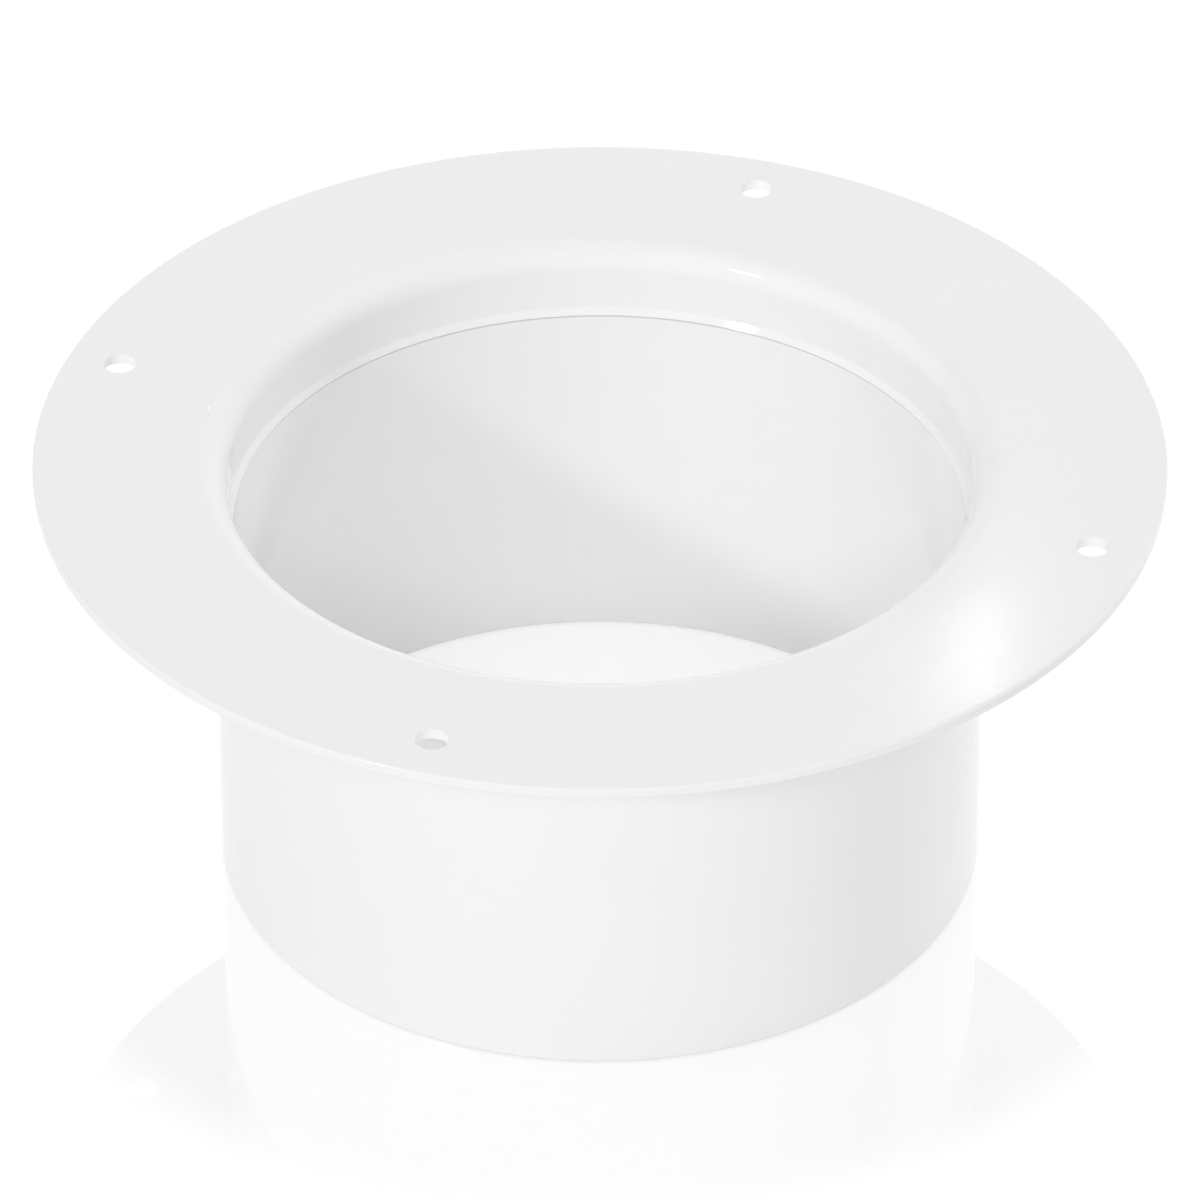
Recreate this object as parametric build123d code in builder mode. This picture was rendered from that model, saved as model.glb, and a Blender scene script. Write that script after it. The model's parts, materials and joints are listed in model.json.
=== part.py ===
from build123d import *
import os

# Duct flange: a flat round plate with a short spigot, moulded in one piece.
# All sizes are in millimetres. The origin is the centre of the spigot's open
# end, +Z runs up the duct's axis to the plate, and +X passes through a screw hole.

# Spigot: the tube that a round duct slides over
spigot_diameter = 99.0
spigot_wall = 2.2
overall_height = 60.0

# Plate: the flange that is screwed to a wall, a box or a panel
plate_overhang = 23.0
plate_thickness = 1.5

# Throat: the wider stretch of the bore behind the plate. It ends in a sloped
# shoulder, whose sharp lip stands a little proud of the bore below it.
throat_depth = 9.2
throat_flare = 0.1
shoulder_width = 0.65
shoulder_height = 1.0
lip_overhang = 0.2

# Screw holes, spaced evenly around the plate
screw_hole_count = 4
screw_hole_diameter = 4.3
screw_hole_to_rim = 7.0

# Rounded edges
mouth_round = 3.8
root_round = 2.0
rim_round = 0.3
spigot_end_round = 0.4

# How far apart two heights may be and still count as one level
level_tolerance = 0.01

# Radii and heights that follow from the sizes above
spigot_radius = spigot_diameter / 2
bore_radius = spigot_radius - spigot_wall
lip_radius = bore_radius - lip_overhang
throat_foot_radius = lip_radius + shoulder_width
throat_top_radius = throat_foot_radius + throat_flare
plate_radius = spigot_radius + plate_overhang
screw_circle_radius = plate_radius - screw_hole_to_rim
plate_underside = overall_height - plate_thickness
shoulder_top = overall_height - throat_depth
lip_height = shoulder_top - shoulder_height


def rings(part, height):
    """The circular edges at one height, from the smallest to the largest."""
    circles = part.edges().filter_by(GeomType.CIRCLE)
    level = circles.filter_by_position(Axis.Z, height - level_tolerance, height + level_tolerance)
    return level.sort_by(SortBy.RADIUS)


with BuildPart() as duct_flange:
    # Half section of the plate and the spigot, turned about the duct's axis
    with BuildSketch(Plane.XZ):
        with BuildLine():
            Polyline(
                (bore_radius, 0),
                (spigot_radius, 0),
                (spigot_radius, plate_underside),
                (plate_radius, plate_underside),
                (plate_radius, overall_height),
                (throat_top_radius, overall_height),
                (throat_foot_radius, shoulder_top),
                (lip_radius, lip_height),
                (bore_radius, lip_height),
                close=True,
            )
        make_face()
    revolve(axis=Axis.Z)

    # The mouth is rounded for the air, and the root keeps the wall even behind it
    fillet(rings(duct_flange, overall_height)[0], radius=mouth_round)
    fillet(rings(duct_flange, plate_underside)[0], radius=root_round)

    # Soft edges of the rim and of the spigot's open end
    fillet(rings(duct_flange, overall_height)[-1], radius=rim_round)
    fillet(rings(duct_flange, plate_underside)[-1], radius=rim_round)
    fillet(rings(duct_flange, 0), radius=spigot_end_round)

    # Plain screw holes through the plate
    with Locations((0, 0, overall_height)):
        with PolarLocations(screw_circle_radius, screw_hole_count):
            Hole(screw_hole_diameter / 2, depth=plate_thickness)

duct_flange.part.label = "duct_flange"

os.makedirs("parts", exist_ok=True)
export_step(duct_flange.part, "parts/duct_flange.step")
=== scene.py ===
import json
import math

import bmesh
import bpy
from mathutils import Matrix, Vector


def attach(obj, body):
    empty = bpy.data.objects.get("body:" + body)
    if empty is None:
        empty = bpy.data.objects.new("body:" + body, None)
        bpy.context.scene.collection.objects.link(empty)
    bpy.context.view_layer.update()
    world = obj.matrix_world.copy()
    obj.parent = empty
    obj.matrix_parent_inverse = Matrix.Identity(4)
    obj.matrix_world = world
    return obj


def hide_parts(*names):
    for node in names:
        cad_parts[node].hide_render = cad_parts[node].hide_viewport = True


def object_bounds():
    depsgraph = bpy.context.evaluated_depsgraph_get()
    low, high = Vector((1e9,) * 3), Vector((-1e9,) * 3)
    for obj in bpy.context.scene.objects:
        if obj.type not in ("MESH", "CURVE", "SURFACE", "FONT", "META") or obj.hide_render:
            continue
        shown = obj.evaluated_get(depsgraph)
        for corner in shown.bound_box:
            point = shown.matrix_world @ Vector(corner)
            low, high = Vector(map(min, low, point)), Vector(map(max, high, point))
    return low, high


# White duct flange, moulded in one piece, on a white studio floor.
# Lengths are in metres and angles in degrees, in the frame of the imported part.

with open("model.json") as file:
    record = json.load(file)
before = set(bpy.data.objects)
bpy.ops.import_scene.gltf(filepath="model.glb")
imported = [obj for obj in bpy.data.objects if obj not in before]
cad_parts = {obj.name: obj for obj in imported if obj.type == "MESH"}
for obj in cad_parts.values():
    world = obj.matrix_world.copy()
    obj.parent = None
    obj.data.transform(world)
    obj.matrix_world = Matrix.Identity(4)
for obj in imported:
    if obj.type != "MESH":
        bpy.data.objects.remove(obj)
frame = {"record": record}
cad_low, cad_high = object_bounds()
mounts = {mount["name"]: mount for mount in frame["record"]["mounts"]}
MM = 0.001

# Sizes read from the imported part
HEIGHT = cad_high.z
PLATE_RADIUS = cad_high.x
PLATE_BACK = mounts["plate_back"]["pos_m"][2]
SPIGOT_RADIUS = mounts["spigot"]["dims"]["r_mm"] * MM
BORE_RADIUS = mounts["duct_bore"]["dims"]["r_mm"] * MM
SCREW_CIRCLE_RADIUS = mounts["screw_holes"]["dims"]["pcd_mm"] * MM / 2
SCREW_HOLE_RADIUS = mounts["screw_holes"]["dims"]["hole_r_mm"] * MM
SCREW_HOLE_COUNT = mounts["screw_holes"]["dims"]["count"]

# Throat behind the plate, with its sloped shoulder and the lip at the shoulder's foot
THROAT_DEPTH = 9.2 * MM
THROAT_FLARE = 0.1 * MM
SHOULDER_WIDTH = 0.65 * MM
SHOULDER_HEIGHT = 1.0 * MM
LIP_OVERHANG = 0.2 * MM

# Rounded edges
MOUTH_ROUND = 3.8 * MM
ROOT_ROUND = 2.0 * MM
RIM_ROUND = 0.3 * MM
SPIGOT_END_ROUND = 0.4 * MM
THROAT_CORNER_ROUND = 0.5 * MM
LIP_ROUND = 0.05 * MM
HOLE_ROUND = 0.12 * MM

# Painted shade: a fine dark line in the corner under the lip
LINE_HEIGHT = HEIGHT - THROAT_DEPTH - SHOULDER_HEIGHT - 0.14 * MM
LINE_HALF_WIDTHS = (0.08 * MM, 0.20 * MM)
LINE_INSIDE = BORE_RADIUS + 1.0 * MM
LINE_SHADE = 0.30

# Mesh density
SEGMENTS = 384
ARC_STEP = 7.5
PATCH_HALF_CELLS = 5
PATCH_RINGS = 4

# Camera, as seen from the centre of the plate's face
VIEW_AZIMUTH = 18.43
VIEW_ELEVATION = 34.44
VIEW_DISTANCE = 1.3608
AIM_BELOW_FACE = 0.0229
LENS = 319.3
SENSOR = 36.0

# Light. Each lamp has its azimuth from the camera's, its elevation, its width and its strength.
SKY_LIGHT = 0.591
KEY_LAMP = (-44.0, 28.0, 6.0, 0.50)
GLINT_LAMP = (177.5, 35.5, 0.2, 0.0005)
FRONT_LAMP = (0.0, 34.0, 12.0, 0.726)
REAR_LAMP = (136.0, 26.0, 12.0, 0.759)
FILL_LAMPS = {
    "fill_front_left": (-45.0, 0.0, 30.0, 0.232),
    "fill_back_left": (-135.0, 0.0, 30.0, 0.128),
    "fill_back": (180.0, 0.0, 30.0, 0.951),
    "fill_back_right": (135.0, 0.0, 30.0, 0.363),
    "fill_top": (0.0, 90.0, 30.0, 0.125),
}

# Floor
FLOOR_HALF_SIDE = 6.0
FLOOR_GAP = 0.05 * MM
FLOOR_SHADE = 0.10
FLOOR_GLOW = 0.92
FLOOR_GLOSS = 0.30
GLOSS_RADII = (72 * MM, 86 * MM)


def towards(azimuth, elevation):
    """Unit vector from the part towards a viewer or a lamp; azimuth 0 is on the -Y side."""
    turn, rise = math.radians(azimuth), math.radians(elevation)
    return Vector((math.sin(turn) * math.cos(rise), -math.cos(turn) * math.cos(rise), math.sin(rise)))


def aim(thing, target):
    """Points a camera or a lamp at a place."""
    thing.rotation_euler = (target - thing.location).to_track_quat("-Z", "Y").to_euler()


def place(data, name):
    """Links new data into the scene as an object."""
    made = bpy.data.objects.new(name, data)
    bpy.context.scene.collection.objects.link(made)
    return made


# Shape of the part

def rounded_outline(corners):
    """The closed outline through (radius, height, rounding) corners, each rounded by an arc."""
    points = []
    for index, (radius, height, rounding) in enumerate(corners):
        here = Vector((radius, height))
        before = (Vector(corners[index - 1][:2]) - here).normalized()
        after = (Vector(corners[(index + 1) % len(corners)][:2]) - here).normalized()
        opening = before.angle(after)
        centre = here + (before + after).normalized() * (rounding / math.sin(opening / 2))
        arm = here + before * (rounding / math.tan(opening / 2)) - centre
        turn = math.copysign(math.pi - opening, after.cross(before))
        steps = max(2, math.ceil(math.degrees(abs(turn)) / ARC_STEP))
        for step in range(steps + 1):
            cosine, sine = math.cos(turn * step / steps), math.sin(turn * step / steps)
            points.append(centre + Vector((arm.x * cosine - arm.y * sine, arm.x * sine + arm.y * cosine)))
    return points


def half_section():
    """The part's half section, as (radius, height) points."""
    lip_radius = BORE_RADIUS - LIP_OVERHANG
    throat_foot_radius = lip_radius + SHOULDER_WIDTH
    shoulder_top = HEIGHT - THROAT_DEPTH
    lip_height = shoulder_top - SHOULDER_HEIGHT
    return rounded_outline([
        (BORE_RADIUS, 0.0, SPIGOT_END_ROUND),
        (SPIGOT_RADIUS, 0.0, SPIGOT_END_ROUND),
        (SPIGOT_RADIUS, PLATE_BACK, ROOT_ROUND),
        (PLATE_RADIUS, PLATE_BACK, RIM_ROUND),
        (PLATE_RADIUS, HEIGHT, RIM_ROUND),
        (throat_foot_radius + THROAT_FLARE, HEIGHT, MOUTH_ROUND),
        (throat_foot_radius, shoulder_top, THROAT_CORNER_ROUND),
        (lip_radius, lip_height, LIP_ROUND),
        (BORE_RADIUS, lip_height, LIP_ROUND),
    ])


def on_circle(radius, segment, height):
    """A point on a circle round the duct's axis, counted in mesh segments from +X."""
    angle = 2 * math.pi * segment / SEGMENTS
    return Vector((radius * math.cos(angle), radius * math.sin(angle), height))


def bridge(mesh, loops, closed=True):
    """Quads between each pair of neighbouring loops of points."""
    rows = [[mesh.verts.new(point) for point in loop] for loop in loops]
    for lower, upper in zip(rows, rows[1:]):
        count = len(lower) if closed else len(lower) - 1
        for index in range(count):
            following = (index + 1) % len(lower)
            mesh.faces.new((lower[index], lower[following], upper[following], upper[index]))


def full_loop(radius, height):
    """One whole circle of the turned form."""
    return [on_circle(radius, segment, height) for segment in range(SEGMENTS)]


CELL = 2 * math.pi * SCREW_CIRCLE_RADIUS / SEGMENTS
PATCH_RADII = [SCREW_CIRCLE_RADIUS + CELL * row for row in range(-PATCH_HALF_CELLS, PATCH_HALF_CELLS + 1)]
HOLE_SPACING = SEGMENTS // SCREW_HOLE_COUNT


def patch_border(hole, height):
    """The square border of the patch round a screw hole, from its outer side's middle onwards."""
    half = PATCH_HALF_CELLS
    steps = [(half, column) for column in range(half)]
    steps += [(half - row, half) for row in range(2 * half)]
    steps += [(-half, half - column) for column in range(2 * half)]
    steps += [(row - half, -half) for row in range(2 * half)]
    steps += [(half, column - half) for column in range(half)]
    return [on_circle(PATCH_RADII[row + half], hole * HOLE_SPACING + column, height) for row, column in steps]


def hole_loops(hole, height, rounding):
    """Loops from the patch border on one face of the plate to the straight wall of the hole."""
    border = patch_border(hole, height)
    first = 2 * math.pi * hole / SCREW_HOLE_COUNT
    centre = on_circle(SCREW_CIRCLE_RADIUS, hole * HOLE_SPACING, height)
    rays = []
    for index in range(len(border)):
        angle = first + 2 * math.pi * index / len(border)
        rays.append(Vector((math.cos(angle), math.sin(angle), 0)))
    mouth = [centre + ray * (SCREW_HOLE_RADIUS + abs(rounding)) for ray in rays]
    loops = []
    for ring in range(PATCH_RINGS + 1):
        share = ring / PATCH_RINGS
        loops.append([outer.lerp(inner, share) for outer, inner in zip(border, mouth)])
    for step in range(1, 4):
        angle = math.radians(30 * step)
        radius = SCREW_HOLE_RADIUS + abs(rounding) * (1 - math.sin(angle))
        drop = Vector((0, 0, -rounding * (1 - math.cos(angle))))
        loops.append([centre + ray * radius + drop for ray in rays])
    return loops


def pierced_ring(mesh, inner, outer, height):
    """One flat face of the plate, with an open square patch round each screw hole."""
    bridge(mesh, [full_loop(inner, height), full_loop(PATCH_RADII[0], height)])
    bridge(mesh, [full_loop(PATCH_RADII[-1], height), full_loop(outer, height)])
    for hole in range(SCREW_HOLE_COUNT):
        first = hole * HOLE_SPACING + PATCH_HALF_CELLS
        last = (hole + 1) * HOLE_SPACING - PATCH_HALF_CELLS
        rows = []
        for radius in PATCH_RADII:
            rows.append([on_circle(radius, segment, height) for segment in range(first, last + 1)])
        bridge(mesh, rows, closed=False)


def flange_mesh():
    """The whole part: its turned form, the two pierced faces and the walls of the holes."""
    mesh = bmesh.new()
    outline = half_section()
    for here, following in zip(outline, outline[1:] + outline[:1]):
        is_flat = abs(here.y - following.y) < 1e-7
        crosses_holes = min(here.x, following.x) < SCREW_CIRCLE_RADIUS < max(here.x, following.x)
        if is_flat and crosses_holes:
            inner, outer = sorted((here.x, following.x))
            pierced_ring(mesh, inner, outer, here.y)
        else:
            bridge(mesh, [full_loop(here.x, here.y), full_loop(following.x, following.y)])
    for hole in range(SCREW_HOLE_COUNT):
        upper = hole_loops(hole, HEIGHT, HOLE_ROUND)
        lower = hole_loops(hole, PLATE_BACK, -HOLE_ROUND)
        bridge(mesh, upper + lower[::-1])
    bmesh.ops.remove_doubles(mesh, verts=mesh.verts, dist=1e-6)
    bmesh.ops.recalc_face_normals(mesh, faces=mesh.faces)
    data = bpy.data.meshes.new("flange_body")
    mesh.to_mesh(data)
    mesh.free()
    data.shade_smooth()
    return data


def even_normals(piece):
    """Keeps flat faces flat where they run into rounded edges."""
    weighting = piece.modifiers.new("even_normals", "WEIGHTED_NORMAL")
    weighting.mode = "FACE_AREA"
    weighting.weight = 50
    bpy.context.view_layer.objects.active = piece
    bpy.ops.object.modifier_apply(modifier=weighting.name)


# Materials

def node_tree(owner):
    """An empty node tree for a material or the world."""
    owner.use_nodes = True
    owner.node_tree.nodes.clear()
    return owner.node_tree.nodes, owner.node_tree.links


def maths(nodes, links, operation, *values):
    """A Math node; each value is a number or the output of another node."""
    node = nodes.new("ShaderNodeMath")
    node.operation = operation
    for socket, value in zip(node.inputs, values):
        if isinstance(value, (int, float)):
            socket.default_value = value
        else:
            links.new(value, socket)
    return node.outputs[0]


def noise(nodes, links, place_on, scale, detail):
    """A soft noise from 0 to 1 on the part's own coordinates, with its scale per metre."""
    node = nodes.new("ShaderNodeTexNoise")
    node.inputs["Scale"].default_value = scale
    node.inputs["Detail"].default_value = detail
    links.new(place_on, node.inputs["Vector"])
    return node.outputs["Fac"]


def spread(nodes, links, factor, low, high):
    """Spreads the middle of a noise over a range of values."""
    node = nodes.new("ShaderNodeMapRange")
    node.inputs["From Min"].default_value = 0.3
    node.inputs["From Max"].default_value = 0.7
    node.inputs["To Min"].default_value = low
    node.inputs["To Max"].default_value = high
    links.new(factor, node.inputs["Value"])
    return node.outputs["Result"]


def shown_ray(nodes, links):
    """1 for rays that show the studio: those of the camera, of reflections and of transmission."""
    path = nodes.new("ShaderNodeLightPath")
    reflected = maths(nodes, links, "MAXIMUM", path.outputs["Is Camera Ray"], path.outputs["Is Glossy Ray"])
    return maths(nodes, links, "MAXIMUM", reflected, path.outputs["Is Transmission Ray"])


def painted_lip_shade(nodes, links, place_on):
    """How much painted shade darkens the plastic on the fine line in the corner under the lip, and 0
    elsewhere.
    """
    parts = nodes.new("ShaderNodeSeparateXYZ")
    links.new(place_on, parts.inputs[0])
    away = maths(nodes, links, "ABSOLUTE", maths(nodes, links, "SUBTRACT", parts.outputs["Z"], LINE_HEIGHT))
    line = nodes.new("ShaderNodeMapRange")
    line.interpolation_type = "SMOOTHSTEP"
    line.inputs["From Min"].default_value = LINE_HALF_WIDTHS[0]
    line.inputs["From Max"].default_value = LINE_HALF_WIDTHS[1]
    line.inputs["To Min"].default_value = LINE_SHADE
    line.inputs["To Max"].default_value = 0.0
    links.new(away, line.inputs["Value"])
    across = maths(nodes, links, "MULTIPLY", parts.outputs["X"], parts.outputs["X"])
    squared = maths(nodes, links, "MULTIPLY_ADD", parts.outputs["Y"], parts.outputs["Y"], across)
    inside = maths(nodes, links, "LESS_THAN", squared, LINE_INSIDE ** 2)
    return maths(nodes, links, "MULTIPLY", line.outputs["Result"], inside)


def white_plastic():
    """Smooth gloss from a polished mould, with a faint unevenness in tone, gloss and surface, and a painted
    shade line under the lip.
    """
    material = bpy.data.materials.new("white_plastic")
    nodes, links = node_tree(material)
    output = nodes.new("ShaderNodeOutputMaterial")
    shader = nodes.new("ShaderNodeBsdfPrincipled")
    links.new(shader.outputs["BSDF"], output.inputs["Surface"])
    shader.inputs["IOR"].default_value = 1.5
    place_on = nodes.new("ShaderNodeTexCoord").outputs["Object"]

    tone = nodes.new("ShaderNodeValToRGB")
    tone.color_ramp.elements[0].position = 0.3
    tone.color_ramp.elements[0].color = (0.855, 0.856, 0.857, 1)
    tone.color_ramp.elements[1].position = 0.7
    tone.color_ramp.elements[1].color = (0.865, 0.865, 0.864, 1)
    links.new(noise(nodes, links, place_on, 45.0, 2.0), tone.inputs["Fac"])
    shaded = nodes.new("ShaderNodeVectorMath")
    shaded.operation = "SCALE"
    links.new(tone.outputs["Color"], shaded.inputs[0])
    # The base colour is darkened by painted shade on the fine line under the lip
    links.new(maths(nodes, links, "SUBTRACT", 1.0, painted_lip_shade(nodes, links, place_on)), shaded.inputs["Scale"])
    links.new(shaded.outputs[0], shader.inputs["Base Color"])

    gloss = spread(nodes, links, noise(nodes, links, place_on, 70.0, 3.0), 0.066, 0.078)
    links.new(gloss, shader.inputs["Roughness"])

    swell = nodes.new("ShaderNodeBump")
    swell.inputs["Distance"].default_value = 0.000004
    links.new(noise(nodes, links, place_on, 60.0, 1.0), swell.inputs["Height"])
    grain = nodes.new("ShaderNodeBump")
    grain.inputs["Distance"].default_value = 0.0000002
    links.new(noise(nodes, links, place_on, 1500.0, 2.0), grain.inputs["Height"])
    links.new(swell.outputs["Normal"], grain.inputs["Normal"])
    links.new(grain.outputs["Normal"], shader.inputs["Normal"])
    return material


def studio_floor():
    """White with a faint real shadow, and polished round the part, so that it mirrors the spigot."""
    material = bpy.data.materials.new("studio_floor")
    nodes, links = node_tree(material)
    output = nodes.new("ShaderNodeOutputMaterial")
    plain = nodes.new("ShaderNodeBsdfDiffuse")
    plain.inputs["Color"].default_value = (0.85, 0.85, 0.85, 1)
    shade = nodes.new("ShaderNodeBsdfDiffuse")
    shade.inputs["Color"].default_value = (FLOOR_SHADE, FLOOR_SHADE, FLOOR_SHADE, 1)
    glow = nodes.new("ShaderNodeEmission")
    glow.inputs["Strength"].default_value = FLOOR_GLOW
    lit = nodes.new("ShaderNodeAddShader")
    links.new(shade.outputs[0], lit.inputs[0])
    links.new(glow.outputs[0], lit.inputs[1])

    distance = nodes.new("ShaderNodeVectorMath")
    distance.operation = "LENGTH"
    links.new(nodes.new("ShaderNodeTexCoord").outputs["Object"], distance.inputs[0])
    polish = nodes.new("ShaderNodeMapRange")
    polish.interpolation_type = "SMOOTHSTEP"
    polish.inputs["From Min"].default_value = GLOSS_RADII[0]
    polish.inputs["From Max"].default_value = GLOSS_RADII[1]
    polish.inputs["To Min"].default_value = FLOOR_GLOSS
    polish.inputs["To Max"].default_value = 0.0
    links.new(distance.outputs["Value"], polish.inputs["Value"])
    gloss = nodes.new("ShaderNodeBsdfGlossy")
    gloss.inputs["Color"].default_value = (1, 1, 1, 1)
    gloss.inputs["Roughness"].default_value = 0.01
    polished = nodes.new("ShaderNodeMixShader")
    links.new(polish.outputs["Result"], polished.inputs["Fac"])
    links.new(lit.outputs[0], polished.inputs[1])
    links.new(gloss.outputs[0], polished.inputs[2])

    shown = nodes.new("ShaderNodeMixShader")
    links.new(shown_ray(nodes, links), shown.inputs["Fac"])
    links.new(plain.outputs[0], shown.inputs[1])
    links.new(polished.outputs[0], shown.inputs[2])
    links.new(shown.outputs[0], output.inputs["Surface"])
    return material


# Studio

def set_world():
    """A white backdrop, and even light from all over the sky."""
    world = bpy.data.worlds.new("studio")
    bpy.context.scene.world = world
    nodes, links = node_tree(world)
    output = nodes.new("ShaderNodeOutputWorld")
    light = nodes.new("ShaderNodeBackground")
    light.inputs["Strength"].default_value = SKY_LIGHT
    backdrop = nodes.new("ShaderNodeBackground")
    backdrop.inputs["Strength"].default_value = 1.0
    for background in (light, backdrop):
        background.inputs["Color"].default_value = (1, 1, 1, 1)
    mixed = nodes.new("ShaderNodeMixShader")
    links.new(shown_ray(nodes, links), mixed.inputs["Fac"])
    links.new(light.outputs[0], mixed.inputs[1])
    links.new(backdrop.outputs[0], mixed.inputs[2])
    links.new(mixed.outputs[0], output.inputs["Surface"])


def add_floor():
    data = bpy.data.meshes.new("floor")
    half, height = FLOOR_HALF_SIDE, cad_low.z - FLOOR_GAP
    corners = [(-half, -half, height), (half, -half, height), (half, half, height), (-half, half, height)]
    data.from_pydata(corners, [], [(0, 1, 2, 3)])
    data.materials.append(studio_floor())
    place(data, "floor")


def add_lamp(name, azimuth, elevation, width, strength):
    """A distant lamp, so that it lights every side of the part that faces it evenly."""
    data = bpy.data.lights.new(name, "SUN")
    data.angle = math.radians(width)
    data.energy = strength
    lamp = place(data, name)
    lamp.location = towards(VIEW_AZIMUTH + azimuth, elevation)
    aim(lamp, Vector())
    return lamp


def add_lamps():
    """A key lamp, a glint on the gloss, two lamps that soften the key's shadow, and plain fills."""
    add_lamp("key", *KEY_LAMP)
    add_lamp("glint", *GLINT_LAMP).visible_diffuse = False
    add_lamp("front", *FRONT_LAMP).visible_glossy = False
    add_lamp("rear", *REAR_LAMP).visible_glossy = False
    for name, values in FILL_LAMPS.items():
        lamp = add_lamp(name, *values)
        lamp.visible_glossy = False
        lamp.data.use_shadow = False


def add_camera():
    data = bpy.data.cameras.new("camera")
    data.lens = LENS
    data.sensor_width = SENSOR
    camera = place(data, "camera")
    camera.location = Vector((0, 0, HEIGHT)) + towards(VIEW_AZIMUTH, VIEW_ELEVATION) * VIEW_DISTANCE
    aim(camera, Vector((0, 0, HEIGHT - AIM_BELOW_FACE)))
    bpy.context.scene.camera = camera


flange = place(flange_mesh(), "flange_body")
even_normals(flange)
flange.data.materials.append(white_plastic())
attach(flange, "root")
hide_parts("duct_flange")

set_world()
add_floor()
add_lamps()
add_camera()
bpy.context.scene.view_settings.view_transform = "Standard"
